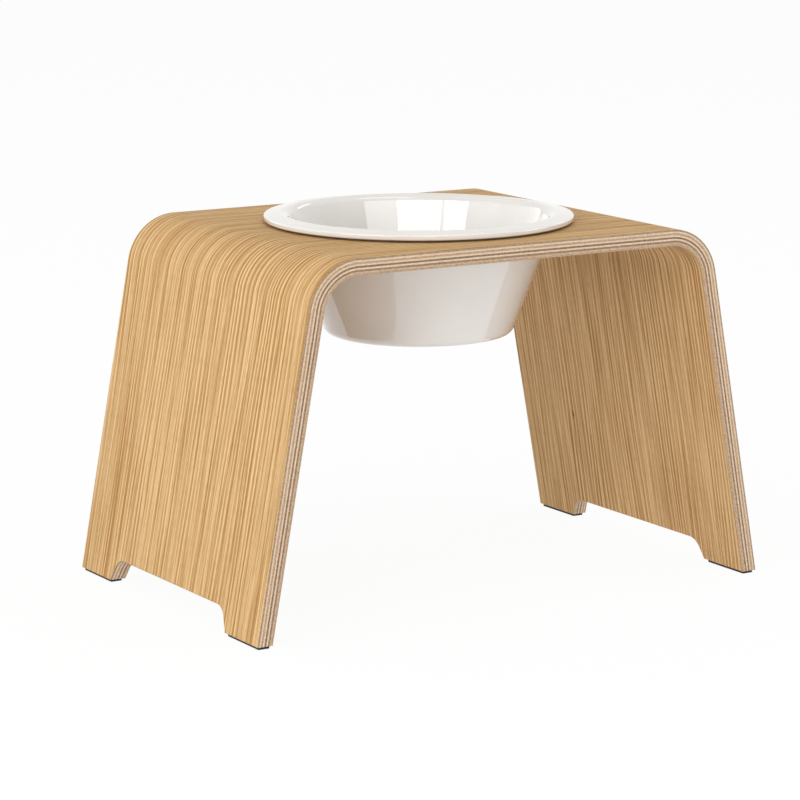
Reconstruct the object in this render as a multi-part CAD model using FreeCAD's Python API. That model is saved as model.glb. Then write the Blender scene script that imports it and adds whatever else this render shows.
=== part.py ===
import FreeCAD, Part
import math
import os

# Elevated dog feeder: a moulded plywood arch stands on four rubber pads, and a porcelain bowl
# hangs by its rim in a round cut-out in the arch's top, on a thin silicone ring.
# Millimetres, +Z up, X from leg to leg, Y along the arch's width.
# The origin is on the floor, under the middle of the bowl.

# Bowl, turned about the Z axis
NECK_RADIUS = 99.0  # outside of the wall, where it meets the underside of the rim
BASE_RADIUS = 67.2  # outside of the wall, carried down to the base
BOWL_DEPTH = 82.6  # from the underside of the rim to the base
BOWL_WALL = 6.0
BOWL_FLOOR = 6.0
RIM_OVERHANG = 12.5  # how far the rim reaches out beyond the neck
RIM_THICKNESS = 4.0  # at the rim's edge
RIM_RISE = 2.2  # climb of the rim's top face from its edge to the opening
RIM_TOP_RADIUS = 0.8  # upper rounding of the rim's edge
RIM_UNDER_RADIUS = 1.2  # lower rounding of the rim's edge
NECK_FILLET = 2.0
OPENING_RADIUS = 7.0  # rounding between the rim's top face and the inside wall
FLOOR_FILLET = 16.0
BASE_FILLET = 7.8
FOOT_RING_WIDTH = 6.0  # flat ring that the bowl stands on when it is put down
FOOT_RING_HEIGHT = 2.0
FOOT_RING_FILLET = 1.5

# Ring between the rim and the wood
RING_THICKNESS = 1.6
RING_WIDTH = 5.0
RING_CLEARANCE = 0.4  # from the rounded neck to the ring

# Plywood arch
ARCH_HEIGHT = 259.0  # from the floor to the top face
RIM_TO_EDGE = 21.0  # top face left between the rim and the front or back edge
RIM_TO_LEG = 49.5  # from the rim to a leg's outer face, at the level of the top face
LEG_SPREAD = 47.5  # how far a leg leans out between the top face and its foot
BEND_RADIUS = 38.5  # outer face of the bends
CUTOUT_CLEARANCE = 1.6  # from the bowl's wall to the cut-out, at the top face
FACE_VENEER = 1.3
CORE_PLY = 1.3
CORE_PLY_COUNT = 7

# Feet and the notch between them, measured on a leg's outer face
FOOT_WIDTH = 46.0  # at the foot's end
FOOT_FLARE = 8.6  # the foot is this much wider at the top of the notch
NOTCH_HEIGHT = 16.8  # up the leg
NOTCH_RADIUS = 12.0

# Pads under the feet
PAD_THICKNESS = 2.0
PAD_INSET = 1.5  # from the edges of the foot's end
PAD_CORNER_RADIUS = 1.0

OVERRUN = 5.0  # cutting shapes reach this far past what they cut

ORIGIN = FreeCAD.Vector(0, 0, 0)
X_AXIS = FreeCAD.Vector(1, 0, 0)
Y_AXIS = FreeCAD.Vector(0, 1, 0)
Z_AXIS = FreeCAD.Vector(0, 0, 1)

# Sizes that follow from the ones above
wall_slope = (NECK_RADIUS - BASE_RADIUS) / BOWL_DEPTH
rim_radius = NECK_RADIUS + RIM_OVERHANG
rim_underside = ARCH_HEIGHT + RING_THICKNESS
arch_width = 2 * (rim_radius + RIM_TO_EDGE)
top_span = 2 * (rim_radius + RIM_TO_LEG)
sheet_thickness = 2 * FACE_VENEER + CORE_PLY_COUNT * CORE_PLY
cutout_radius = NECK_RADIUS - wall_slope * RING_THICKNESS + CUTOUT_CLEARANCE
splay = math.atan2(LEG_SPREAD, ARCH_HEIGHT - PAD_THICKNESS)

# Right leg: directions square to its outer face and down its length, and the middle of its bend
leg_outward = FreeCAD.Vector(math.cos(splay), 0, math.sin(splay))
leg_down = FreeCAD.Vector(math.sin(splay), 0, -math.cos(splay))
top_corner = FreeCAD.Vector(top_span / 2, 0, ARCH_HEIGHT)
bend_turn = math.pi / 2 - splay
bend_middle = top_corner - X_AXIS * (BEND_RADIUS * math.tan(bend_turn / 2)) - Z_AXIS * BEND_RADIUS


def mirrored(point):
    """The same point on the left half of the arch."""
    return FreeCAD.Vector(-point.x, point.y, point.z)


def foot_end(depth):
    """End of the right leg, on the sheet face that lies this depth under the outer face."""
    start = top_corner - leg_outward * depth
    return start + leg_down * ((start.z - PAD_THICKNESS) / math.cos(splay))


def sheet_face_edges(depth):
    """Line of a sheet face seen from the front, from the left foot over the top to the right foot."""
    radius = BEND_RADIUS - depth
    half_turn = splay + bend_turn / 2
    top_tangent = bend_middle + Z_AXIS * radius
    bend_point = bend_middle + FreeCAD.Vector(math.cos(half_turn), 0, math.sin(half_turn)) * radius
    leg_tangent = bend_middle + leg_outward * radius
    foot = foot_end(depth)
    return [
        Part.LineSegment(mirrored(foot), mirrored(leg_tangent)).toShape(),
        Part.Arc(mirrored(leg_tangent), mirrored(bend_point), mirrored(top_tangent)).toShape(),
        Part.LineSegment(mirrored(top_tangent), top_tangent).toShape(),
        Part.Arc(top_tangent, bend_point, leg_tangent).toShape(),
        Part.LineSegment(leg_tangent, foot).toShape(),
    ]


def rounded_face(corners):
    """Flat face inside a closed outline. Each corner is a point and the radius that rounds it."""
    edges = []
    starts = []
    ends = []
    for index, (point, radius) in enumerate(corners):
        before = corners[index - 1][0]
        after = corners[(index + 1) % len(corners)][0]
        back = (before - point).normalize()
        onward = (after - point).normalize()
        half_angle = back.getAngle(onward) / 2
        run = radius / math.tan(half_angle)
        starts.append(point + back * run)
        ends.append(point + onward * run)
        if radius > 0:
            inward = (back + onward).normalize()
            crown = point + inward * (radius / math.sin(half_angle) - radius)
            edges.append(Part.Arc(starts[-1], crown, ends[-1]).toShape())
    for index, end in enumerate(ends):
        edges.append(Part.LineSegment(end, starts[(index + 1) % len(starts)]).toShape())
    return Part.Face(Part.Wire(Part.__sortEdges__(edges)))


def make_notch_cutter():
    """Prism, square to the right leg's face, that leaves two feet with slanting sides."""
    half_width = arch_width / 2 - FOOT_WIDTH
    flare_slope = FOOT_FLARE / NOTCH_HEIGHT
    outside = foot_end(0) + leg_outward * OVERRUN
    corners = []
    for side in (-1, 1):
        top = outside + Y_AXIS * (side * (half_width - FOOT_FLARE)) - leg_down * NOTCH_HEIGHT
        low = outside + Y_AXIS * (side * (half_width + flare_slope * OVERRUN)) + leg_down * OVERRUN
        corners.append([(low, 0), (top, NOTCH_RADIUS)])
    outline = corners[0] + corners[1][::-1]
    return rounded_face(outline).extrude(leg_outward * -(sheet_thickness + 2 * OVERRUN))


def make_sheet(outer_depth, thickness, cutters):
    """One bent sheet of the plywood, with the cut-out and both notches."""
    inner_depth = outer_depth + thickness
    ends = [foot_end(outer_depth), foot_end(inner_depth)]
    edges = sheet_face_edges(outer_depth) + sheet_face_edges(inner_depth)
    edges.append(Part.LineSegment(ends[0], ends[1]).toShape())
    edges.append(Part.LineSegment(mirrored(ends[0]), mirrored(ends[1])).toShape())
    section = Part.Face(Part.Wire(Part.__sortEdges__(edges)))
    section.translate(Y_AXIS * (-arch_width / 2))
    return section.extrude(Y_AXIS * arch_width).cut(cutters)


def make_plywood():
    """All sheets of the arch by name, from the outer face inwards."""
    right_notch = make_notch_cutter()
    cutout_start = ORIGIN + Z_AXIS * (ARCH_HEIGHT - sheet_thickness - OVERRUN)
    cutout = Part.makeCylinder(cutout_radius, sheet_thickness + 2 * OVERRUN, cutout_start, Z_AXIS)
    cutters = [right_notch, right_notch.mirror(ORIGIN, X_AXIS), cutout]
    names = ["outer_face_veneer"]
    names += ["core_ply_%d" % (index + 1) for index in range(CORE_PLY_COUNT)]
    names += ["inner_face_veneer"]
    sheets = {}
    depth = 0
    for name in names:
        thickness = CORE_PLY if name.startswith("core") else FACE_VENEER
        sheets[name] = make_sheet(depth, thickness, cutters)
        depth += thickness
    return sheets


def make_pad(side, end):
    """Pad under one foot: side is -1 for the left leg, end is -1 for the front."""
    low_x = foot_end(sheet_thickness).x + PAD_INSET
    high_x = foot_end(0).x - PAD_INSET
    low_y = arch_width / 2 - FOOT_WIDTH + PAD_INSET
    high_y = arch_width / 2 - PAD_INSET
    places = [(low_x, low_y), (high_x, low_y), (high_x, high_y), (low_x, high_y)]
    corners = [(FreeCAD.Vector(side * x, end * y, 0), PAD_CORNER_RADIUS) for x, y in places]
    return rounded_face(corners).extrude(Z_AXIS * PAD_THICKNESS)


def make_bowl():
    """Bowl with a flat rim, a tapered wall and a foot ring round a shallow recess."""
    base = rim_underside - BOWL_DEPTH
    inside_shift = BOWL_WALL * math.hypot(1, wall_slope)
    opening_height = RIM_THICKNESS + RIM_RISE
    opening = NECK_RADIUS - inside_shift + wall_slope * opening_height
    floor_corner = NECK_RADIUS - inside_shift - wall_slope * (BOWL_DEPTH - BOWL_FLOOR)
    foot_outer = BASE_RADIUS - BASE_FILLET * math.tan((math.pi / 2 - math.atan(wall_slope)) / 2)
    foot_inner = foot_outer - FOOT_RING_WIDTH
    recess = foot_inner - FOOT_RING_HEIGHT
    outline = [
        (0, base + BOWL_FLOOR, 0),
        (floor_corner, base + BOWL_FLOOR, FLOOR_FILLET),
        (opening, rim_underside + opening_height, OPENING_RADIUS),
        (rim_radius, rim_underside + RIM_THICKNESS, RIM_TOP_RADIUS),
        (rim_radius, rim_underside, RIM_UNDER_RADIUS),
        (NECK_RADIUS, rim_underside, NECK_FILLET),
        (BASE_RADIUS, base, BASE_FILLET),
        (foot_inner, base, 0),
        (recess, base + FOOT_RING_HEIGHT, FOOT_RING_FILLET),
        (0, base + FOOT_RING_HEIGHT, 0),
    ]
    corners = [(FreeCAD.Vector(radius, 0, height), fillet) for radius, height, fillet in outline]
    return rounded_face(corners).revolve(ORIGIN, Z_AXIS, 360)


def make_ring():
    """Flat ring that lies on the wood round the bowl's neck and carries the rim."""
    fillet_run = NECK_FILLET * math.tan((math.pi / 2 - math.atan(wall_slope)) / 2)
    inner = NECK_RADIUS + fillet_run + RING_CLEARANCE
    seat = ORIGIN + Z_AXIS * ARCH_HEIGHT
    disc = Part.makeCylinder(inner + RING_WIDTH, RING_THICKNESS, seat, Z_AXIS)
    hole_start = seat - Z_AXIS * OVERRUN
    return disc.cut(Part.makeCylinder(inner, RING_THICKNESS + 2 * OVERRUN, hole_start, Z_AXIS))


def make_parts():
    """Every piece of the feeder by node name."""
    parts = make_plywood()
    for side, side_name in ((-1, "left"), (1, "right")):
        for end, end_name in ((-1, "front"), (1, "back")):
            parts["%s_%s_pad" % (end_name, side_name)] = make_pad(side, end)
    parts["bowl_ring"] = make_ring()
    parts["bowl"] = make_bowl()
    return parts


os.makedirs("parts", exist_ok=True)
for node, shape in make_parts().items():
    shape.exportStep("parts/%s.step" % node)
    print(node, "solids", len(shape.Solids), "valid", shape.isValid(), "volume", round(shape.Volume, 1))
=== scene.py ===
"""Dresses an elevated dog feeder: a bent plywood arch with a porcelain bowl hung in its top.

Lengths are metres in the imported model's frame: +Z up, X from leg to leg, -Y at the front.
"""

import logging
import math
from dataclasses import dataclass, field
from enum import Enum

import bmesh
import bpy
import numpy as np
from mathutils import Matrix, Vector


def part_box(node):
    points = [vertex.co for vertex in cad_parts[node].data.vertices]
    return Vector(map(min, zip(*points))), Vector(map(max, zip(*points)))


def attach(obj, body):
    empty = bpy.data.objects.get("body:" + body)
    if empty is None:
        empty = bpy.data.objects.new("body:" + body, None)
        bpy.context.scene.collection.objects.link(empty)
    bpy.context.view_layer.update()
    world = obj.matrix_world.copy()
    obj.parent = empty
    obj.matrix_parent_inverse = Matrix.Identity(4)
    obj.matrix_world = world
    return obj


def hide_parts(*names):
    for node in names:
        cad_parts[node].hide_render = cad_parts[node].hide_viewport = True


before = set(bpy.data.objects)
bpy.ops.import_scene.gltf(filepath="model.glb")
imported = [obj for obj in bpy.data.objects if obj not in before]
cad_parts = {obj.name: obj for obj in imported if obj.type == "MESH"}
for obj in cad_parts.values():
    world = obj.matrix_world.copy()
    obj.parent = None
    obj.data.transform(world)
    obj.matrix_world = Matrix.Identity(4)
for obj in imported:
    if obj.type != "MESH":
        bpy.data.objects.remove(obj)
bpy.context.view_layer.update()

LOG = logging.getLogger("feeder")
PATTERN = "pattern"  # UV map with each surface's own flat coordinates, in metres
WELD_STEP = 1e-7  # points that round to the same step are one vertex
CREASE = math.radians(35)  # edges that turn by more than this stay crisp
SHEET_SHIFT = (0.61, 0.17)  # how far apart in the pattern the edges of neighbouring sheets are cut
WHITE = (1.0, 1.0, 1.0)

Colour = tuple[float, float, float]


@dataclass(frozen=True)
class Clouds:
    """How fine a cloudy noise on flat coordinates is.

    Attributes:
        across: clouds to a metre along the first coordinate.
        along: clouds to a metre along the second one.
        octaves: layers of finer clouds.
        rough: share of each finer layer.
    """

    across: float
    along: float
    octaves: float = 1.0
    rough: float = 0.5


@dataclass(frozen=True)
class Mask:
    """Clouds made a mask, which is 0 where they are below low and 1 where they are above high."""

    clouds: Clouds
    low: float
    high: float


class Value:
    """A number or colour that varies over a surface; sums on it add Math nodes."""

    def __init__(self, tree: "FinishTree", socket: bpy.types.NodeSocket) -> None:
        """Keeps an output socket and the tree that it belongs to."""
        self.tree = tree
        self.socket = socket

    def _sum(self, operation: str, first: "Value | float", second: "Value | float") -> "Value":
        """Adds the Math node for one operation on two terms."""
        made = self.tree.node("ShaderNodeMath", {"operation": operation}, {0: first, 1: second})
        return made["Value"]

    def __add__(self, other: "Value | float") -> "Value":
        """self + other"""
        return self._sum("ADD", self, other)

    def __radd__(self, other: float) -> "Value":
        """other + self"""
        return self._sum("ADD", other, self)

    def __sub__(self, other: "Value | float") -> "Value":
        """self - other"""
        return self._sum("SUBTRACT", self, other)

    def __rsub__(self, other: float) -> "Value":
        """other - self"""
        return self._sum("SUBTRACT", other, self)

    def __mul__(self, other: "Value | float") -> "Value":
        """self * other"""
        return self._sum("MULTIPLY", self, other)

    def __rmul__(self, other: float) -> "Value":
        """other * self"""
        return self._sum("MULTIPLY", other, self)

    def sine(self) -> "Value":
        """The sine of a number of radians."""
        return self.tree.node("ShaderNodeMath", {"operation": "SINE"}, {0: self})["Value"]

    def __or__(self, other: "Value | float") -> "Value":
        """The larger of the two, which joins two masks."""
        return self._sum("MAXIMUM", self, other)


class Outputs:
    """The outputs of one node, by name or number."""

    def __init__(self, tree: "FinishTree", node: bpy.types.Node) -> None:
        """Keeps the node and the tree that it belongs to."""
        self.tree = tree
        self.made = node

    def __getitem__(self, key: str | int) -> Value:
        """One output as a value."""
        return Value(self.tree, self.made.outputs[key])


class FinishTree:
    """Node tree of one finish or of the world, written as expressions."""

    def __init__(self, tree: bpy.types.NodeTree) -> None:
        """Empties the tree."""
        tree.nodes.clear()
        self.tree = tree

    def node(self, kind: str, settings: dict, inputs: dict) -> Outputs:
        """Adds a node.

        Args:
            kind: Blender's name for the node's type.
            settings: the node's own settings, which are set first.
            inputs: a number, colour or Value for each socket, by name or number.

        Returns:
            The node's outputs.
        """
        made = self.tree.nodes.new(kind)
        for name, setting in settings.items():
            setattr(made, name, setting)
        for key, given in inputs.items():
            socket = made.inputs[key]
            if isinstance(given, Value):
                self.tree.links.new(given.socket, socket)
            elif socket.type == "RGBA":
                socket.default_value = (*given, 1.0)
            else:
                socket.default_value = given
        return Outputs(self, made)

    def pattern(self, shift: tuple[float, float]) -> Value:
        """The surface's own flat coordinates, moved by shift."""
        place = self.node("ShaderNodeUVMap", {"uv_map": PATTERN}, {})["UV"]
        return self.vector("ADD", place, (*shift, 0.0))

    def solid(self) -> Value:
        """Places in the piece's own space, in metres."""
        return self.node("ShaderNodeTexCoord", {}, {})["Object"]

    def vector(self, operation: str, first: Value, second: "Value | Colour") -> Value:
        """One Vector Math operation."""
        made = self.node("ShaderNodeVectorMath", {"operation": operation}, {0: first, 1: second})
        return made["Vector"]

    def noise(self, place: Value, clouds: Clouds) -> Value:
        """Cloudy noise on flat coordinates.

        Args:
            place: flat coordinates, in metres.
            clouds: how fine the noise is.

        Returns:
            Noise from 0 to 1, mostly near one half.
        """
        stretched = self.vector("MULTIPLY", place, (clouds.across, clouds.along, 1.0))
        sockets = {"Vector": stretched, "Scale": 1.0}
        sockets |= {"Detail": clouds.octaves, "Roughness": clouds.rough}
        return self.node("ShaderNodeTexNoise", {"noise_dimensions": "2D"}, sockets)["Fac"]

    def mask(self, place: Value, mask: Mask) -> Value:
        """A mask on flat coordinates."""
        return self.ramp(self.noise(place, mask.clouds), mask.low, mask.high)

    def spots(self, place: Value, scale: float, octaves: float = 2.0) -> Value:
        """Cloudy noise in space, with scale clouds to a metre."""
        sockets = {"Vector": place, "Scale": scale, "Detail": octaves}
        return self.node("ShaderNodeTexNoise", {}, sockets)["Fac"]

    def ramp(self, value: Value, low: float, high: float) -> Value:
        """Smooth step, which climbs from 0 to 1 without a kink.

        Args:
            value: where on the climb a place is.
            low: value at its foot.
            high: value at its top.

        Returns:
            0 below low, 1 above high.
        """
        sockets = {"Value": value, "From Min": low, "From Max": high}
        made = self.node("ShaderNodeMapRange", {"interpolation_type": "SMOOTHSTEP"}, sockets)
        return made["Result"]

    def mix(
        self, share: "Value | float", first: "Value | Colour", second: "Value | Colour"
    ) -> Value:
        """Colour between first, at share 0, and second, at share 1."""
        return self.node("ShaderNodeMix", {"data_type": "RGBA"}, {0: share, 6: first, 7: second})[2]

    def shade(self, colour: Value, strength: Value) -> Value:
        """Colour times a number."""
        grey = self.node("ShaderNodeCombineXYZ", {}, dict.fromkeys(range(3), strength))[0]
        return self.vector("MULTIPLY", colour, grey)

    def bump(self, height: Value, distance: float) -> Value:
        """Surface relief of height times distance, in metres."""
        return self.node("ShaderNodeBump", {}, {"Height": height, "Distance": distance})["Normal"]

    def surface(self, inputs: dict) -> None:
        """Ends a material in one Principled shader with these sockets."""
        shader = self.node("ShaderNodeBsdfPrincipled", {}, inputs)["BSDF"]
        self.node("ShaderNodeOutputMaterial", {}, {"Surface": shader})


def new_material(name: str) -> tuple[bpy.types.Material, FinishTree]:
    """Makes a material.

    Args:
        name: the material's name.

    Returns:
        The material and its empty tree.
    """
    material = bpy.data.materials.new(name)
    material.use_nodes = True
    return material, FinishTree(material.node_tree)


@dataclass(frozen=True)
class OakFace:
    """Straight-grained oak veneer under a clear matt lacquer.

    Growth rings show as even lines along the bend. Their spacing drifts, they lean a little, and
    they fade in some stretches. Bands, fine lines, dark streaks, hairs and short pores run along
    with them.
    """

    name: str
    shift: tuple[float, float]  # which stretch of the leaf of veneer the face is cut from
    light: Colour = (0.665, 0.455, 0.232)
    dark: Colour = (0.345, 0.177, 0.051)
    pore: Colour = (0.20, 0.095, 0.028)
    knot: Colour = (0.09, 0.047, 0.02)
    ring_pitch: float = 0.0047
    ring_wave: float = 0.5  # height of the wave that makes a ring
    ring_ripple: float = 0.2  # height of a wave half as long on top of it
    ripple_lead: float = 1.1  # how far the ripple runs ahead, in radians
    slow: Clouds = Clouds(20.0, 2.6)
    lean: float = 0.018  # how far slow clouds push the rings aside
    quick: Clouds = Clouds(85.0, 6.0)
    sway: float = 0.0028  # how far quick clouds do
    fading: Mask = Mask(Clouds(32.0, 3.0), 0.25, 0.7)
    faded: float = 0.25  # strength that is left where rings fade
    picking: Mask = Mask(Clouds(230.0, 2.8), 0.3, 0.7)  # which rings stand out
    weakest: float = 0.15  # strength of a ring that doesn't
    picked: float = 1.1  # strength that one which does has more
    bands: Clouds = Clouds(125.0, 2.0)
    lines: Clouds = Clouds(520.0, 8.0, 2.0, 0.6)
    hairs: Clouds = Clouds(1700.0, 22.0)
    streaks: Mask = Mask(Clouds(430.0, 4.0), 0.56, 0.7)
    streak_mean: float = 0.2  # taken off the streaks, so that the face stays as light as it was
    ring_share: float = 0.7  # this and the next four are the parts' shares in the figure
    band_share: float = 0.22
    line_share: float = 0.85
    hair_share: float = 0.65
    streak_share: float = 0.3
    figure_span: float = 0.45  # a figure of this much is wholly dark, and of minus it wholly light
    pores: Mask = Mask(Clouds(2600.0, 120.0), 0.58, 0.72)
    pore_share: float = 0.3  # how far pores take their own colour
    patches: Clouds = Clouds(11.0, 4.0, 2.0)
    patch_shade: float = 0.93  # brightness of the darkest patches
    patch_gain: float = 0.14  # how much brighter the lightest ones are
    knots: tuple[tuple[float, float], ...] = ()  # places of pin knots on the face, across and run
    knot_size: tuple[float, float] = (0.0013, 0.0048)  # half width and half length
    knot_core: float = 0.3  # share of its size where a knot is darkest
    knot_share: float = 0.95  # how far it takes its own colour there
    roughness: float = 0.58
    dark_roughness: float = 0.12  # more on dark lines
    pore_roughness: float = 0.1  # more in pores
    lacquer: float = 0.1  # strength of the lacquer's gloss
    relief: float = 0.00006
    hair_relief: float = 0.5  # this and the next two are the parts' shares in the relief
    ring_relief: float = 0.15
    pore_relief: float = 0.6

    def make(self) -> bpy.types.Material:
        """Writes the finish as a node tree.

        Returns:
            The new material.
        """
        material, tree = new_material(self.name)
        leaf = tree.pattern(self.shift)
        across = tree.node("ShaderNodeSeparateXYZ", {}, {0: leaf})[0]
        fields = (self.slow, self.quick, self.bands, self.lines, self.hairs)
        slow, quick, bands, lines, hairs = (tree.noise(leaf, clouds) - 0.5 for clouds in fields)
        pores = tree.mask(leaf, self.pores)
        streaks = tree.mask(leaf, self.streaks) - self.streak_mean
        strength = tree.mask(leaf, self.fading) * (1.0 - self.faded) + self.faded
        uneven = tree.mask(leaf, self.picking) * self.picked + self.weakest
        turns = (across + slow * self.lean + quick * self.sway) * (2 * math.pi / self.ring_pitch)
        ripple = (turns * 2.0 + self.ripple_lead).sine()
        rings = turns.sine() * self.ring_wave + ripple * self.ring_ripple
        figure = rings * strength * uneven * self.ring_share + bands * self.band_share
        figure = figure + lines * self.line_share + hairs * self.hair_share
        figure = figure + streaks * self.streak_share
        share = tree.ramp(figure, -self.figure_span, self.figure_span)
        colour = tree.mix(share, self.light, self.dark)
        colour = tree.mix(pores * self.pore_share, colour, self.pore)
        patches = tree.noise(leaf, self.patches) * self.patch_gain + self.patch_shade
        colour = tree.shade(colour, patches)
        for across_knot, run_knot in self.knots:
            place = tree.pattern((-across_knot, -run_knot))
            place = tree.vector("DIVIDE", place, (*self.knot_size, 1.0))
            away = tree.node("ShaderNodeVectorMath", {"operation": "LENGTH"}, {0: place})["Value"]
            inside = self.knot_share - self.knot_share * tree.ramp(away, self.knot_core, 1.0)
            colour = tree.mix(inside, colour, self.knot)
        height = hairs * self.hair_relief - rings * self.ring_relief - pores * self.pore_relief
        tree.surface({
            "Base Color": colour,
            "Roughness": self.roughness + self.dark_roughness * share + self.pore_roughness * pores,
            "Specular IOR Level": self.lacquer,
            "Normal": tree.bump(height, self.relief),
        })
        return material


@dataclass(frozen=True)
class PlyEdge:
    """Sanded edge of one sheet, with fibres along it, paler and darker stretches and open pores."""

    name: str
    base: Colour
    streak: Colour
    pore_share: float  # how much of the edge is open end grain
    shift: tuple[float, float]
    fibres: Clouds = Clouds(160.0, 2600.0, 2.0, 0.6)
    blotches: Clouds = Clouds(480.0, 900.0, 2.0, 0.6)
    stretches: Clouds = Clouds(18.0, 30.0, 2.0)
    fibre_share: float = 0.35  # this and the next two are the parts' shares in the streaks
    blotch_share: float = 0.5
    stretch_share: float = 0.15
    streak_span: tuple[float, float] = (0.36, 0.64)  # where streaks begin, and where they are full
    specks: Clouds = Clouds(750.0, 1900.0)
    speck_span: tuple[float, float] = (0.62, 0.7)  # the same for specks
    speck_spread: float = 0.14  # how much earlier they begin on open end grain
    speck_shade: float = 0.2  # how much they darken the edge
    pore_shade: float = 0.35  # how much more on open end grain
    roughness: float = 0.55
    streak_roughness: float = 0.15  # more on streaks
    fibre_relief: float = 0.5  # share of the fibres in the relief
    relief: float = 0.00005

    def make(self) -> bpy.types.Material:
        """Writes the finish as a node tree.

        Returns:
            The new material.
        """
        material, tree = new_material(self.name)
        edge = tree.pattern(self.shift)
        fields = (self.fibres, self.blotches, self.stretches)
        fibres, blotches, stretches = (tree.noise(edge, clouds) for clouds in fields)
        begin, full = self.speck_span
        begin -= self.speck_spread * self.pore_share
        specks = tree.mask(edge, Mask(self.specks, begin, full))
        mixed = fibres * self.fibre_share + blotches * self.blotch_share
        mixed = mixed + stretches * self.stretch_share
        share = tree.ramp(mixed, *self.streak_span)
        colour = tree.mix(share, self.base, self.streak)
        speck_shade = self.speck_shade + self.pore_shade * self.pore_share
        colour = tree.shade(colour, 1.0 - specks * speck_shade)
        tree.surface({
            "Base Color": colour,
            "Roughness": self.roughness + self.streak_roughness * share,
            "Normal": tree.bump(fibres * self.fibre_relief - specks, self.relief),
        })
        return material


@dataclass(frozen=True)
class Porcelain:
    """White porcelain under a clear glaze that is not quite even."""

    name: str = "glazed_porcelain"
    white: Colour = (0.682, 0.659, 0.632)
    shade: Colour = (0.651, 0.628, 0.597)
    cloud_scale: float = 22.0  # this and the next two are clouds to a metre
    speckle_scale: float = 900.0
    wave_scale: float = 45.0
    cloud_span: tuple[float, float] = (0.35, 0.7)  # where the shade begins, and where it is full
    speckle_span: tuple[float, float] = (0.6, 0.8)  # the same for duller speckles
    roughness: float = 0.02
    cloud_roughness: float = 0.02  # more in the shade
    speckle_roughness: float = 0.02  # more on speckles
    glaze_roughness: float = 0.01
    relief: float = 0.00001

    def make(self) -> bpy.types.Material:
        """Writes the finish as a node tree.

        Returns:
            The new material.
        """
        material, tree = new_material(self.name)
        place = tree.solid()
        cloud = tree.spots(place, self.cloud_scale)
        speckle = tree.ramp(tree.spots(place, self.speckle_scale, 1.0), *self.speckle_span)
        wave = tree.spots(place, self.wave_scale, 1.0)
        dullness = self.cloud_roughness * cloud
        tree.surface({
            "Base Color": tree.mix(tree.ramp(cloud, *self.cloud_span), self.white, self.shade),
            "Roughness": self.roughness + dullness + self.speckle_roughness * speckle,
            "Coat Weight": 1.0,
            "Coat Roughness": self.glaze_roughness,
            "Normal": tree.bump(wave, self.relief),
        })
        return material


@dataclass(frozen=True)
class Bisque:
    """Bare fired porcelain under the foot ring, wiped clear of glaze."""

    name: str = "bare_porcelain"
    base: Colour = (0.74, 0.71, 0.66)
    grit: Colour = (0.60, 0.56, 0.50)
    grain_scale: float = 1400.0  # grains to a metre
    rub_scale: float = 60.0  # rubbed places to a metre
    grain_share: float = 0.6  # this and the next are the parts' shares in the grit
    rub_share: float = 0.4
    grit_span: tuple[float, float] = (0.42, 0.62)  # where grit begins, and where it is full
    roughness: float = 0.75
    grain_roughness: float = 0.1  # more on grains
    relief: float = 0.00004

    def make(self) -> bpy.types.Material:
        """Writes the finish as a node tree.

        Returns:
            The new material.
        """
        material, tree = new_material(self.name)
        place = tree.solid()
        grain = tree.spots(place, self.grain_scale)
        rubbed = tree.spots(place, self.rub_scale)
        share = tree.ramp(grain * self.grain_share + rubbed * self.rub_share, *self.grit_span)
        tree.surface({
            "Base Color": tree.mix(share, self.base, self.grit),
            "Roughness": self.roughness + self.grain_roughness * grain,
            "Normal": tree.bump(grain, self.relief),
        })
        return material


@dataclass(frozen=True)
class Rubber:
    """Dark moulded rubber or silicone with a fine grain and dust on it."""

    name: str
    base: Colour
    dust: Colour
    grain_scale: float  # grains to a metre
    roughness: float
    patch_scale: float = 90.0  # dusty places to a metre
    grain_share: float = 0.5  # this and the next are the parts' shares in the dust
    patch_share: float = 0.5
    dust_span: tuple[float, float] = (0.45, 0.65)  # where dust begins, and where it is full
    dust_roughness: float = 0.2  # more on dust
    relief: float = 0.00008

    def make(self) -> bpy.types.Material:
        """Writes the finish as a node tree.

        Returns:
            The new material.
        """
        material, tree = new_material(self.name)
        place = tree.solid()
        grain = tree.spots(place, self.grain_scale)
        patches = tree.spots(place, self.patch_scale)
        share = tree.ramp(grain * self.grain_share + patches * self.patch_share, *self.dust_span)
        tree.surface({
            "Base Color": tree.mix(share, self.base, self.dust),
            "Roughness": self.roughness + self.dust_roughness * share,
            "Normal": tree.bump(grain, self.relief),
        })
        return material


@dataclass
class Patch:
    """Surface on a grid of points.

    Attributes:
        points: places of the grid's points, rows by columns by three.
        pattern: their places in the finish's pattern, rows by columns by two.
        finish: which of the piece's finishes the surface takes.
    """

    points: np.ndarray
    pattern: np.ndarray
    finish: int = 0

    def cells(self) -> np.ndarray:
        """Lists the grid's cells.

        Returns:
            Numbers of the four corner points of every cell, counted by rows.
        """
        rows, columns = self.points.shape[:2]
        number = np.arange(rows * columns).reshape(rows, columns)
        corners = [number[:-1, :-1], number[:-1, 1:], number[1:, 1:], number[1:, :-1]]
        return np.stack(corners, axis=-1).reshape(-1, 4)


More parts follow.
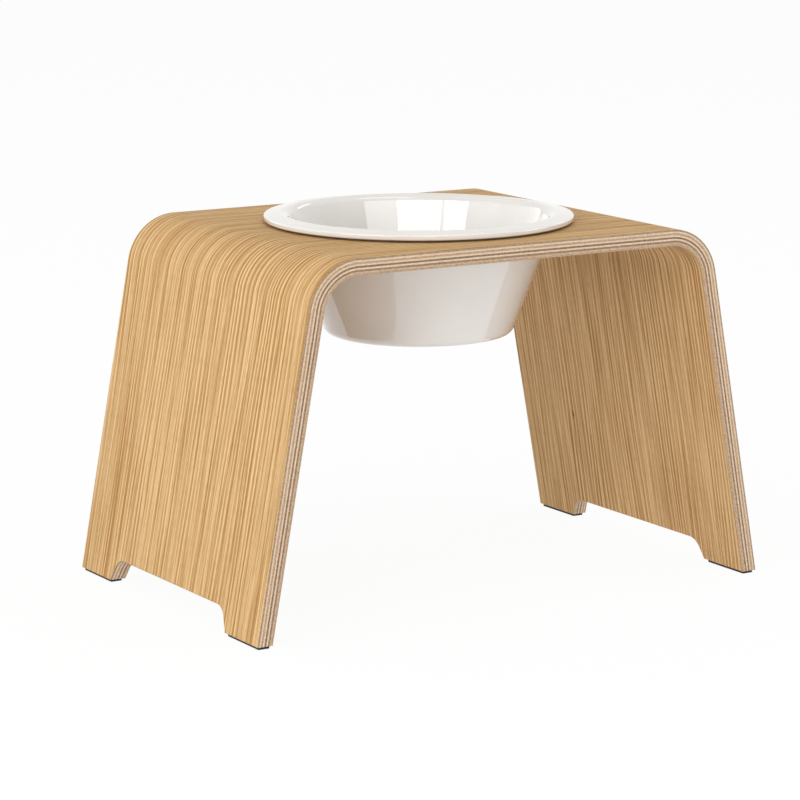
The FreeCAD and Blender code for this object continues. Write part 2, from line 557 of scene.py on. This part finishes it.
def weld(name: str, patches: list[Patch], finishes: list[bpy.types.Material]) -> bpy.types.Object:
    """Joins patches into one closed piece.

    Every cell of a grid is a face. Points that round to the same place are one vertex, and a face
    drops a corner that repeats, so that poles close as triangles. Faces then turn outwards.

    Args:
        name: the piece's name.
        patches: surfaces that together close a solid.
        finishes: the materials that the patches number.

    Returns:
        The piece, at the origin, with smooth faces between its crisp edges.
    """
    points = np.concatenate([patch.points.reshape(-1, 3) for patch in patches])
    pattern = np.concatenate([patch.pattern.reshape(-1, 2) for patch in patches])
    grids = [patch.cells() for patch in patches]
    starts = np.cumsum([0] + [patch.points[..., 0].size for patch in patches[:-1]])
    cells = np.concatenate([grid + start for grid, start in zip(grids, starts)])
    finish = np.repeat([patch.finish for patch in patches], [len(grid) for grid in grids])
    steps = np.round(points / WELD_STEP).astype(np.int64)
    _, first, merged = np.unique(steps, axis=0, return_index=True, return_inverse=True)
    corners = merged.reshape(-1)[cells]
    kept = corners != np.roll(corners, -1, axis=1)
    sizes = kept.sum(axis=1)
    whole = sizes > 2
    kept &= whole[:, None]
    sizes = sizes[whole]

    mesh = bpy.data.meshes.new(name)
    mesh.vertices.add(len(first))
    mesh.vertices.foreach_set("co", points[first].astype(np.float32).ravel())
    mesh.loops.add(int(kept.sum()))
    mesh.loops.foreach_set("vertex_index", corners[kept].astype(np.int32))
    mesh.polygons.add(len(sizes))
    mesh.polygons.foreach_set("loop_start", (np.cumsum(sizes) - sizes).astype(np.int32))
    mesh.polygons.foreach_set("material_index", finish[whole].astype(np.int32))
    mesh.update(calc_edges=True)
    flat = mesh.uv_layers.new(name=PATTERN)
    flat.data.foreach_set("uv", pattern[cells][kept].astype(np.float32).ravel())
    mesh.validate()
    shell = bmesh.new()
    shell.from_mesh(mesh)
    bmesh.ops.recalc_face_normals(shell, faces=shell.faces[:])
    shell.to_mesh(mesh)
    shell.free()
    mesh.shade_smooth()
    mesh.set_sharp_from_angle(angle=CREASE)
    for material in finishes:
        mesh.materials.append(material)

    piece = bpy.data.objects.new(name, mesh)
    bpy.context.scene.collection.objects.link(piece)
    even = piece.modifiers.new("even_shading", "WEIGHTED_NORMAL")
    even.keep_sharp = True
    return piece


def settle(piece: bpy.types.Object, body: str, node: str) -> None:
    """Puts a piece in its CAD node's place, on the body that it moves with, and hides the node.

    Args:
        piece: the piece.
        body: the body that it moves with.
        node: the CAD node that it stands for.
    """
    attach(piece, body)
    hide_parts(node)
    LOG.info("%s stands for %s on %s, %d faces", piece.name, node, body, len(piece.data.polygons))


def rounded_line(
    corners: list[tuple[float, float, float]], steps: int, closed: bool = False
) -> np.ndarray:
    """Line through corners in a plane, each rounded by an arc that touches both its sides.

    The arc of a corner that turns by an angle starts radius * tan(angle / 2) before the corner, and
    its points lie radius away from a middle on the corner's inner side.

    Args:
        corners: radius from the axis, height and rounding of each corner, in order.
        steps: spans in each arc.
        closed: whether the line returns to its first corner.

    Returns:
        The line's points, two numbers each.
    """
    points = np.array([corner[:2] for corner in corners])
    line = []
    for index, (point, radius) in enumerate(zip(points, (corner[2] for corner in corners))):
        inner = closed or 0 < index < len(corners) - 1
        if radius == 0 or not inner:
            line.append(point[None])
            continue
        arriving = point - points[index - 1]
        leaving = points[(index + 1) % len(points)] - point
        arriving /= np.linalg.norm(arriving)
        leaving /= np.linalg.norm(leaving)
        turn = math.atan2(arriving[0] * leaving[1] - arriving[1] * leaving[0], arriving @ leaving)
        side = math.copysign(1.0, turn)
        normal = side * np.array([-arriving[1], arriving[0]])
        start = point - arriving * radius * math.tan(abs(turn) / 2)
        angle = np.linspace(0.0, abs(turn), steps + 1)[:, None]
        line.append(start + radius * (np.sin(angle) * arriving + (1 - np.cos(angle)) * normal))
    if closed:
        line.append(line[0][:1])
    return np.concatenate(line)


def turned(line: np.ndarray, spans: int, finish: int = 0) -> Patch:
    """Turns a line about the Z axis: the point at angle a is (r cos a, r sin a, z).

    Args:
        line: radius and height of each point.
        spans: faces round the axis.
        finish: which finish the surface takes.

    Returns:
        The turned surface, whose pattern is the way round and the way along the line.
    """
    angle = np.linspace(0.0, 2 * math.pi, spans + 1)
    wave = np.stack([np.cos(angle), np.sin(angle)])
    wave[:, -1] = wave[:, 0]
    radius, height = line[:, :1], line[:, 1:]
    points = np.stack([radius * wave[0], radius * wave[1], height + 0 * angle], axis=-1)
    along = np.concatenate([[0.0], np.cumsum(np.linalg.norm(np.diff(line, axis=0), axis=1))])
    pattern = np.stack(np.broadcast_arrays(angle * radius.max(), along[:, None]), axis=-1)
    return Patch(points, pattern, finish)


class PlyTone(Enum):
    """A sheet's cut edge: colours of its ground and streaks, and its share of open pores."""

    OAK = ((0.37, 0.255, 0.155), (0.25, 0.165, 0.10), 0.5)
    PALE = ((0.68, 0.51, 0.36), (0.54, 0.385, 0.255), 0.15)
    TAN = ((0.46, 0.325, 0.205), (0.33, 0.22, 0.135), 0.6)
    DARK = ((0.27, 0.175, 0.105), (0.175, 0.105, 0.06), 1.0)
    BROWN = ((0.325, 0.212, 0.128), (0.215, 0.13, 0.075), 0.9)
    LIGHT_TAN = ((0.55, 0.393, 0.252), (0.40, 0.272, 0.17), 0.5)
    LIGHT_OAK = ((0.465, 0.325, 0.202), (0.325, 0.218, 0.135), 0.4)

    def finish(self, name: str, number: int) -> bpy.types.Material:
        """The edge's material for the sheet of this number."""
        shift = tuple(number * step for step in SHEET_SHIFT)
        return PlyEdge(name, *self.value, shift).make()


@dataclass
class PlywoodArch:
    """Nine bent sheets glued face to face, with a round cut-out in the top and a notch in each leg.

    A place on the sheets is given unrolled. run goes along the outer face's line, seen from the
    front, from the middle of the top to the right foot, and is negative to the left. across is Y.
    depth goes in from the outer face.
    """

    bend_radius: float = 0.0385  # outer face
    leg_spread: float = 0.0475  # how far a leg leans out between the top face and its foot
    cutout_radius: float = 0.09998
    foot_width: float = 0.046
    foot_flare: float = 0.0086  # the foot is this much wider at the top of the notch
    notch_height: float = 0.0168
    notch_radius: float = 0.012
    arris_radius: float = 0.0004  # rounding of the outermost edges
    glue_gap: float = 0.00003  # half the glue line between two sheets
    tones: tuple[PlyTone, ...] = (
        PlyTone.OAK, PlyTone.PALE, PlyTone.TAN, PlyTone.PALE, PlyTone.DARK,
        PlyTone.PALE, PlyTone.BROWN, PlyTone.LIGHT_TAN, PlyTone.LIGHT_OAK,
    )
    wear: dict[PlyTone, float] = field(default_factory=lambda: {
        PlyTone.OAK: 0.0, PlyTone.PALE: 0.00002, PlyTone.TAN: 0.00004, PlyTone.DARK: 0.00007,
        PlyTone.BROWN: 0.00006, PlyTone.LIGHT_TAN: 0.00003, PlyTone.LIGHT_OAK: 0.0,
    })  # how far the sanded edge of a softer sheet lies back
    outer_face: OakFace = OakFace("oak_outer_face", (0.0, 0.0))
    inner_face: OakFace = OakFace(
        "oak_inner_face_painted_shade", (0.83, 1.7), light=(0.61, 0.412, 0.213), dark=(0.312, 0.16, 0.051),
        ring_pitch=0.0042, knots=((0.0644, 0.3225),),
    )  # cut from a slower grown tree with finer rings, with a pin knot inside the right leg; its light and dark are about a tenth darker than the outer face's, painted shade for the arch's shaded inside
    bend_spans: int = 28
    leg_spans: int = 8
    top_spans: int = 40
    ring_spans: int = 5
    arris_spans: int = 5
    foot_spans: tuple[int, int, int, int] = (8, 10, 5, 6)  # half notch top, corner, side, foot end

    def __post_init__(self) -> None:
        """Takes the arch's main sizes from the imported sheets."""
        self.nodes = ["outer_face_veneer"]
        self.nodes += ["core_ply_%d" % number for number in range(1, len(self.tones) - 1)]
        self.nodes += ["inner_face_veneer"]
        low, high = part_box(self.nodes[0])
        self.width = high.y - low.y
        self.height = high.z
        self.depths = [self.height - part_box(node)[1].z for node in self.nodes]
        self.depths.append(self.depths[-1] + self.depths[1])
        self.splay = math.atan2(self.leg_spread, high.z - low.z)
        self.turn = math.pi / 2 - self.splay
        self.bend_start = high.x - self.leg_spread - self.bend_radius * math.tan(self.turn / 2)
        self.bend_end = self.bend_start + self.bend_radius * self.turn
        leg_top = self.height - self.bend_radius * (1 - math.sin(self.splay))
        self.foot_run = self.bend_end + (leg_top - low.z) / math.cos(self.splay)

    def place(self, run: np.ndarray, across: np.ndarray, depth: "np.ndarray | float") -> np.ndarray:
        """Bends unrolled places into the arch.

        The run goes level up to the bend, then round an arc of bend_radius - depth, then straight
        down the leg.

        Args:
            run: way along the outer face's line.
            across: place along Y.
            depth: way in from the outer face.

        Returns:
            The points, three numbers each.
        """
        run, across, depth = np.broadcast_arrays(run, across, depth)
        length = np.abs(run)
        angle = np.clip((length - self.bend_start) / self.bend_radius, 0.0, self.turn)
        drop = np.maximum(length - self.bend_end, 0.0)
        radius = self.bend_radius - depth
        level = np.minimum(length, self.bend_start)
        x = level + radius * np.sin(angle) + drop * math.sin(self.splay)
        z = self.height - self.bend_radius + radius * np.cos(angle) - drop * math.cos(self.splay)
        return np.stack([np.sign(run) * x, across, z], axis=-1)

    def columns(self, depth: float, inset: float) -> tuple[np.ndarray, np.ndarray]:
        """Lower end of a leg, from its front edge to its back edge.

        Each half is the notch's level top, an arc round its corner, its slanting side and the
        foot's level end. An inset moves the whole outline into the wood and adds to the corner's
        radius.

        Args:
            depth: way in from the outer face. The foot's end is level, so it rises inwards.
            inset: how far the outline lies inside its true place.

        Returns:
            Places across, and the height of the leg's end up the leg there.
        """
        lean = math.atan2(self.notch_height, self.foot_flare)
        side_top = self.width / 2 - self.foot_width - self.foot_flare
        middle = side_top - self.notch_radius * math.tan(lean / 2)
        base = self.notch_height - self.notch_radius
        radius = self.notch_radius + inset
        foot_rise = depth * math.tan(self.splay) + inset
        top_spans, corner_spans, side_spans, end_spans = self.foot_spans
        angle = np.linspace(0.0, lean, corner_spans, endpoint=False)
        side = np.array([middle + radius * math.sin(lean), base + radius * math.cos(lean)])
        heel = np.array([side[0] + (side[1] - foot_rise) / math.tan(lean), foot_rise])
        across = np.concatenate([
            np.linspace(0.0, middle, top_spans, endpoint=False),
            middle + radius * np.sin(angle),
            np.linspace(side[0], heel[0], side_spans, endpoint=False),
            np.linspace(heel[0], self.width / 2 - inset, end_spans + 1),
        ])
        rise = np.concatenate([
            np.full(top_spans, base + radius),
            base + radius * np.cos(angle),
            np.linspace(side[1], heel[1], side_spans, endpoint=False),
            np.full(end_spans + 1, foot_rise),
        ])
        return np.concatenate([-across[:0:-1], across]), np.concatenate([rise[:0:-1], rise])

    def leg_grid(self, depth: float, inset: float) -> tuple[np.ndarray, np.ndarray]:
        """Unrolled grid of the right bend and leg: rows down the leg, columns from front to back.

        Args:
            depth: way in from the outer face.
            inset: how far the outline lies inside its true place.

        Returns:
            Run and place across of each point.
        """
        across, rise = self.columns(depth, inset)
        bend = np.linspace(self.bend_start, self.bend_end, self.bend_spans + 1)[:, None] + 0 * rise
        share = np.linspace(0.0, 1.0, self.leg_spans + 1)[1:, None]
        leg = self.bend_end + share * (self.foot_run - rise - self.bend_end)
        run = np.concatenate([bend, leg])
        return run, np.broadcast_to(across, run.shape)

    def top_outline(self, depth: float, inset: float) -> tuple[np.ndarray, np.ndarray]:
        """Closed outline of the level top, unrolled, from its front right corner round by the back.

        Args:
            depth: way in from the outer face.
            inset: how far the outline lies inside its true place.

        Returns:
            Run and place across of each point.
        """
        across, _ = self.columns(depth, inset)
        side = np.linspace(-self.bend_start, self.bend_start, self.top_spans + 1)
        edge = np.full(self.top_spans, self.width / 2 - inset)
        end = np.full(len(across), self.bend_start)
        run = np.concatenate([end, side[-2::-1], -end[1:], side[1:]])
        return run, np.concatenate([across, edge, across[-2::-1], -edge])

    def cutout(self, inset: float) -> tuple[np.ndarray, np.ndarray]:
        """Circle of the cut-out, unrolled, with a point for each point of the top's outline.

        Args:
            inset: how much wider the circle is, in radius.

        Returns:
            Run and place across of each point.
        """
        run, across = self.top_outline(0.0, 0.0)
        angle = np.arctan2(across, run)
        radius = self.cutout_radius + inset
        return radius * np.cos(angle), radius * np.sin(angle)

    def edge_outline(self, depth: float, inset: float) -> tuple[np.ndarray, np.ndarray]:
        """Closed outline of a whole sheet, unrolled, from its left front foot over the front edge.

        Args:
            depth: way in from the outer face.
            inset: how far the outline lies inside its true place.

        Returns:
            Run and place across of each point.
        """
        run, across = self.leg_grid(depth, inset)
        side = np.linspace(-self.bend_start, self.bend_start, self.top_spans + 1)[1:-1]
        edge = np.full(len(run) * 2 + len(side), self.width / 2 - inset)
        front = np.concatenate([-run[::-1, 0], side, run[:, 0]])
        runs = [front, run[-1, 1:-1], front[::-1], -run[-1, -2::-1]]
        places = [-edge, across[-1, 1:-1], edge, across[-1, -2::-1]]
        return np.concatenate(runs), np.concatenate(places)

    def face(self, depth: float, inset: float, finish: int) -> list[Patch]:
        """One side of a sheet: both legs, and the top as rings from the cut-out to its outline.

        Args:
            depth: way in from the outer face.
            inset: how far the outline lies inside its true place.
            finish: which finish the side takes.

        Returns:
            The right leg, the left leg and the top.
        """
        run, across = self.leg_grid(depth, inset)
        share = np.linspace(0.0, 1.0, self.ring_spans + 1)[:, None]
        hole, rim = self.cutout(inset), self.top_outline(depth, inset)
        top = [inner + share * (outer - inner) for inner, outer in zip(hole, rim)]
        grids = [(run, across), (-run, across), tuple(top)]
        flats = [np.stack(grid[::-1], axis=-1) for grid in grids]
        return [Patch(self.place(*grid, depth), flat, finish) for grid, flat in zip(grids, flats)]

    def wall(
        self, outlines: list[tuple[np.ndarray, np.ndarray]], depths: list[float], finish: int
    ) -> Patch:
        """Edge of a sheet: a closed outline for each depth, joined to the next one.

        Args:
            outlines: run and place across of each outline's points.
            depths: way in from the outer face of each outline.
            finish: which finish the edge takes.

        Returns:
            The edge, whose pattern is the way round and the depth.
        """
        run, across = (np.stack(part) for part in zip(*outlines))
        depth = np.array(depths)[:, None]
        steps = np.hypot(np.diff(run[0]), np.diff(across[0]))
        along = np.concatenate([[0.0], np.cumsum(steps)])
        pattern = np.stack(np.broadcast_arrays(along, depth), axis=-1)
        return Patch(self.place(run, across, depth), pattern, finish)

    def edge_profile(self, number: int) -> list[tuple[float, float]]:
        """Shape of a sheet's edge, with a quarter circle of arris_radius where it is outermost.

        Args:
            number: which sheet, from 0 at the outer face.

        Returns:
            Depth and inset of each point, from the outer to the inner side.
        """
        last = len(self.nodes) - 1
        outer, inner = self.depths[number], self.depths[number + 1]
        angle = np.linspace(0.0, math.pi / 2, self.arris_spans + 1)
        rounding = self.arris_radius * (1 - np.stack([np.cos(angle), np.sin(angle)], axis=-1))
        wear = self.wear[self.tones[number]]
        profile = [(outer + self.glue_gap, wear), (inner - self.glue_gap, wear)]
        if number == 0:
            profile[:1] = [tuple(point) for point in rounding]
        if number == last:
            profile[1:] = [(inner - depth, inset) for depth, inset in rounding[::-1]]
        return profile

    def make_sheet(self, number: int, finishes: list[bpy.types.Material]) -> bpy.types.Object:
        """One sheet as a closed piece: two sides, the outer edge and the cut-out's edge.

        Args:
            number: which sheet, from 0 at the outer face.
            finishes: materials of the sides and of the edges.

        Returns:
            The piece.
        """
        profile = self.edge_profile(number)
        depths = [depth for depth, _ in profile]
        patches = self.face(*profile[0], 0) + self.face(*profile[-1], 0)
        patches.append(self.wall([self.edge_outline(*point) for point in profile], depths, 1))
        patches.append(self.wall([self.cutout(inset) for _, inset in profile], depths, 1))
        name = "sheet_%d_%s" % (number + 1, self.tones[number].name.lower())
        return weld(name, patches, finishes)

    def build(self) -> None:
        """Makes, dresses and places every sheet."""
        sides = {0: self.outer_face.make(), len(self.nodes) - 1: self.inner_face.make()}
        for number, (node, tone) in enumerate(zip(self.nodes, self.tones)):
            edge = tone.finish("edge_%d_%s" % (number + 1, tone.name.lower()), number)
            settle(self.make_sheet(number, [sides.get(number, edge), edge]), "arch", node)


@dataclass
class FeedingBowl:
    """Porcelain bowl with a flat rim, a tapered wall and a foot ring round a shallow recess."""

    neck_radius: float = 0.099  # outside of the wall, at the underside of the rim
    base_radius: float = 0.0672  # outside of the wall, carried down to the base
    depth: float = 0.0826  # from the underside of the rim to the base
    wall: float = 0.006
    floor: float = 0.006
    rim_thickness: float = 0.004  # at the rim's edge
    rim_rise: float = 0.0022  # climb of the rim's top face from its edge to the opening
    rim_top_radius: float = 0.0014  # upper rounding of the rim's edge
    rim_under_radius: float = 0.0012  # lower rounding of the rim's edge
    neck_fillet: float = 0.002
    opening_radius: float = 0.007
    floor_fillet: float = 0.016
    base_fillet: float = 0.0078
    foot_ring_width: float = 0.006
    foot_ring_height: float = 0.002
    foot_ring_fillet: float = 0.0015
    arc_spans: int = 14
    turn_spans: int = 288

    def line(self) -> np.ndarray:
        """Half section from the middle of the inside, over the rim, to the middle of the underside.

        Returns:
            Radius and height of each point.
        """
        low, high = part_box("bowl")
        base, rim_radius = low.z, high.x
        underside = base + self.depth
        slope = (self.neck_radius - self.base_radius) / self.depth
        inside = self.neck_radius - self.wall * math.hypot(1.0, slope)
        opening_height = self.rim_thickness + self.rim_rise
        opening = inside + slope * opening_height
        floor_corner = inside - slope * (self.depth - self.floor)
        base_turn = math.pi / 2 - math.atan(slope)
        foot_outer = self.base_radius - self.base_fillet * math.tan(base_turn / 2)
        foot_inner = foot_outer - self.foot_ring_width
        recess = base + self.foot_ring_height
        return rounded_line([
            (0.0, base + self.floor, 0.0),
            (floor_corner, base + self.floor, self.floor_fillet),
            (opening, underside + opening_height, self.opening_radius),
            (rim_radius, underside + self.rim_thickness, self.rim_top_radius),
            (rim_radius, underside, self.rim_under_radius),
            (self.neck_radius, underside, self.neck_fillet),
            (self.base_radius, base, self.base_fillet),
            (foot_inner, base, 0.0),
            (foot_inner - self.foot_ring_height, recess, self.foot_ring_fillet),
            (0.0, recess, 0.0),
        ], self.arc_spans)

    def build(self) -> None:
        """Makes, dresses and places the bowl, with the foot ring's underside left bare."""
        line = self.line()
        low = np.flatnonzero(line[:, 1] < line[:, 1].min() + WELD_STEP)
        parts = [line[:low[0] + 1], line[low[0]:low[-1] + 1], line[low[-1]:]]
        patches = [turned(part, self.turn_spans, finish) for part, finish in zip(parts, (0, 1, 0))]
        piece = weld("porcelain_bowl", patches, [Porcelain().make(), Bisque().make()])
        settle(piece, "bowl", "bowl")


@dataclass
class SeatRing:
    """Flat silicone ring between the bowl's rim and the wood."""

    # Its brown base is matched to the dark line under the rim, where the gap lies in shade: silicone
    # colour and painted shade.
    silicone: Rubber = Rubber(
        "seat_silicone_and_gap_shade", base=(0.16, 0.115, 0.07), dust=(0.22, 0.165, 0.11),
        grain_scale=700.0, roughness=0.45,
    )
    width: float = 0.005
    edge_radius: float = 0.0005
    arc_spans: int = 6
    turn_spans: int = 192

    def build(self) -> None:
        """Makes, dresses and places the ring: a turned rectangle with rounded corners."""
        low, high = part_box("bowl_ring")
        inner = high.x - self.width
        corners = [(inner, low.z), (high.x, low.z), (high.x, high.z), (inner, high.z)]
        rounded = [(*corner, self.edge_radius) for corner in corners]
        line = rounded_line(rounded, self.arc_spans, closed=True)
        piece = weld("seat_ring", [turned(line, self.turn_spans)], [self.silicone.make()])
        settle(piece, "ring", "bowl_ring")


@dataclass
class FootPads:
    """Four thin rubber pads, stuck under the feet."""

    # The rubber's base and dust are darkened to near black so that the pads also give the dark
    # contact shade along the feet: black rubber and painted shade.
    rubber: Rubber = Rubber(
        "pad_rubber", base=(0.008, 0.008, 0.0085), dust=(0.018, 0.0175, 0.017),
        grain_scale=1100.0, roughness=0.7,
    )
    corner_radius: float = 0.001
    edge_radius: float = 0.00035
    arc_spans: int = 6

    def outline(self, low: Vector, high: Vector, inset: float) -> np.ndarray:
        """Closed plan of a pad: a rectangle with rounded corners.

        Args:
            low: the lowest corner of the pad's box.
            high: the highest one.
            inset: how far the plan lies inside the box.

        Returns:
            X and Y of each point.
        """
        left, right, front, back = low.x + inset, high.x - inset, low.y + inset, high.y - inset
        radius = self.corner_radius - inset
        corners = [(left, front), (right, front), (right, back), (left, back)]
        return rounded_line([(*corner, radius) for corner in corners], self.arc_spans, closed=True)

    def surface(self, low: Vector, high: Vector) -> Patch:
        """A pad's closed surface.

        Each row is the pad's plan at one height. From the middle of the underside the rows widen
        to the edge, go round a quarter circle, up the side, round another and back to the top's
        middle.

        Args:
            low: the lowest corner of the pad's box.
            high: the highest one.

        Returns:
            The surface, whose pattern is X and Y.
        """
        angle = np.linspace(0.0, math.pi / 2, self.arc_spans + 1)
        inset = self.edge_radius * (1 - np.sin(angle))
        rise = self.edge_radius * (1 - np.cos(angle))
        insets = np.concatenate([inset, inset[::-1]])
        heights = np.concatenate([low.z + rise, high.z - rise[::-1]])
        plans = np.stack([self.outline(low, high, inset) for inset in insets])
        middle = np.broadcast_to(plans[0, :-1].mean(axis=0), plans[:1].shape)
        plans = np.concatenate([middle, plans, middle])
        heights = np.concatenate([heights[:1], heights, heights[-1:]])
        level = np.broadcast_to(heights[:, None, None], (*plans.shape[:2], 1))
        return Patch(np.concatenate([plans, level], axis=-1), plans)

    def build(self) -> None:
        """Makes, dresses and places the four pads."""
        rubber = self.rubber.make()
        for end in ("front", "back"):
            for side in ("left", "right"):
                node = "%s_%s_pad" % (end, side)
                piece = weld("rubber_%s" % node, [self.surface(*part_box(node))], [rubber])
                settle(piece, "arch", node)


@dataclass(frozen=True)
class Softbox:
    """Rectangular studio lamp that faces the feeder.

    Azimuth and elevation say where it stands, seen from the feeder, in degrees: azimuth 0 is in
    front and grows to the right.
    """

    name: str
    azimuth: float
    elevation: float
    width: float
    height: float
    radiance: float
    distance: float = 3.0

    def place(self, target: Vector) -> None:
        """Hangs the lamp and turns it to the target.

        Args:
            target: the place that it faces.
        """
        name = "%s_softbox" % self.name
        lamp = bpy.data.lights.new(name, "AREA")
        lamp.shape = "RECTANGLE"
        lamp.size = self.width
        lamp.size_y = self.height
        lamp.energy = self.radiance * math.pi * self.width * self.height
        holder = bpy.data.objects.new(name, lamp)
        back = direction(self.azimuth, self.elevation)
        holder.location = target + back * self.distance
        holder.rotation_euler = (-back).to_track_quat("-Z", "Y").to_euler()
        holder.visible_camera = False
        bpy.context.scene.collection.objects.link(holder)


def direction(azimuth: float, elevation: float) -> Vector:
    """Unit vector from the feeder to a place around it.

    Args:
        azimuth: degrees from the front, to the right.
        elevation: degrees above level.

    Returns:
        The vector.
    """
    turn, rise = math.radians(azimuth), math.radians(elevation)
    level = math.cos(rise)
    return Vector((math.sin(turn) * level, -math.cos(turn) * level, math.sin(rise)))


@dataclass
class Studio:
    """White studio: a pale floor, even light all round, softboxes and the camera."""

    camera_azimuth: float = -31.468
    camera_elevation: float = 11.023
    camera_distance: float = 2.4135
    camera_target: Vector = field(default_factory=lambda: Vector((-0.01568, 0.0, 0.12941)))
    camera_lens: float = 150.05  # in millimetres, as the next
    camera_sensor: float = 36.0
    sky: float = 0.635  # strength of the light from all round
    sky_colour: Colour = (1.0, 0.985, 0.965)
    floor_colour: Colour = (0.92, 0.92, 0.92)
    floor_light: float = 0.66  # share of the floor that glows white, as a light table does
    floor_glow: float = 0.28  # share that glows besides, but only for the camera
    floor_size: float = 40.0
    softboxes: tuple[Softbox, ...] = (
        Softbox(
            "key", azimuth=-69.0, elevation=11.0,
            width=2.4, height=1.2, radiance=3.85, distance=3.2,
        ),
        Softbox("front", azimuth=-32.0, elevation=37.0, width=1.97, height=0.42, radiance=4.5),
        Softbox("middle", azimuth=-56.0, elevation=36.0, width=0.6, height=0.42, radiance=2.2),
        Softbox("side", azimuth=-71.0, elevation=34.5, width=1.03, height=0.42, radiance=4.5),
        Softbox("fill", azimuth=7.0, elevation=35.0, width=1.58, height=0.42, radiance=2.0),
        Softbox(
            "right", azimuth=60.0, elevation=7.5,
            width=1.8, height=0.9, radiance=4.8, distance=3.3,
        ),
        Softbox("wall", azimuth=-101.0, elevation=30.0, width=1.75, height=0.6, radiance=1.15),
        Softbox(
            "back", azimuth=-143.0, elevation=18.5,
            width=4.4, height=1.15, radiance=0.95, distance=3.4,
        ),
        Softbox("top", azimuth=23.0, elevation=70.0, width=2.1, height=0.5, radiance=2.4),
        Softbox("low", azimuth=-27.0, elevation=5.0, width=0.9, height=0.6, radiance=4.8),
        Softbox("rim", azimuth=114.0, elevation=30.0, width=0.3, height=0.8, radiance=2.4),
    )

    def light_world(self) -> None:
        """Lights all round at sky strength, and shows plain white to the camera."""
        world = bpy.data.worlds.new("studio")
        world.use_nodes = True
        bpy.context.scene.world = world
        tree = FinishTree(world.node_tree)
        path = tree.node("ShaderNodeLightPath", {}, {})
        shown = path["Is Camera Ray"] | path["Is Glossy Ray"] | path["Is Transmission Ray"]
        strength = shown * (1.0 - self.sky) + self.sky
        colour = tree.mix(path["Is Camera Ray"], self.sky_colour, WHITE)
        light = tree.node("ShaderNodeBackground", {}, {"Color": colour, "Strength": strength})
        tree.node("ShaderNodeOutputWorld", {}, {"Surface": light["Background"]})

    def lay_floor(self) -> None:
        """Lays a level floor that fades to white for the camera and keeps the feeder's shadow."""
        reach = np.linspace(-self.floor_size / 2, self.floor_size / 2, 3)
        x, y = np.meshgrid(reach, reach)
        material, tree = new_material("studio_floor")
        path = tree.node("ShaderNodeLightPath", {}, {})
        matt = tree.node("ShaderNodeBsdfDiffuse", {}, {"Color": self.floor_colour})["BSDF"]
        glow = tree.node("ShaderNodeEmission", {}, {"Color": WHITE, "Strength": 1.0})["Emission"]
        share = path["Is Camera Ray"] * self.floor_glow + self.floor_light
        mixed = tree.node("ShaderNodeMixShader", {}, {0: share, 1: matt, 2: glow})["Shader"]
        tree.node("ShaderNodeOutputMaterial", {}, {"Surface": mixed})
        points = np.stack([x, y, np.zeros_like(x)], axis=-1)
        floor = weld("studio_floor", [Patch(points, points[..., :2])], [material])

    def place_camera(self) -> None:
        """Stands the camera where the photograph was taken from."""
        lens = bpy.data.cameras.new("camera")
        lens.lens = self.camera_lens
        lens.sensor_width = self.camera_sensor
        lens.clip_end = self.floor_size
        camera = bpy.data.objects.new("camera", lens)
        back = direction(self.camera_azimuth, self.camera_elevation)
        camera.location = self.camera_target + back * self.camera_distance
        camera.rotation_euler = (-back).to_track_quat("-Z", "Y").to_euler()
        bpy.context.scene.collection.objects.link(camera)
        bpy.context.scene.camera = camera

    def build(self) -> None:
        """Sets up the whole studio."""
        bpy.context.scene.view_settings.view_transform = "Standard"
        self.light_world()
        self.lay_floor()
        self.place_camera()
        for softbox in self.softboxes:
            softbox.place(self.camera_target)
        LOG.info("studio with %d softboxes", len(self.softboxes))


def main() -> None:
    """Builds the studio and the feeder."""
    logging.basicConfig(level=logging.INFO, format="%(message)s")
    for assembly in (Studio(), PlywoodArch(), FeedingBowl(), SeatRing(), FootPads()):
        assembly.build()


if __name__ == "__main__":
    main()
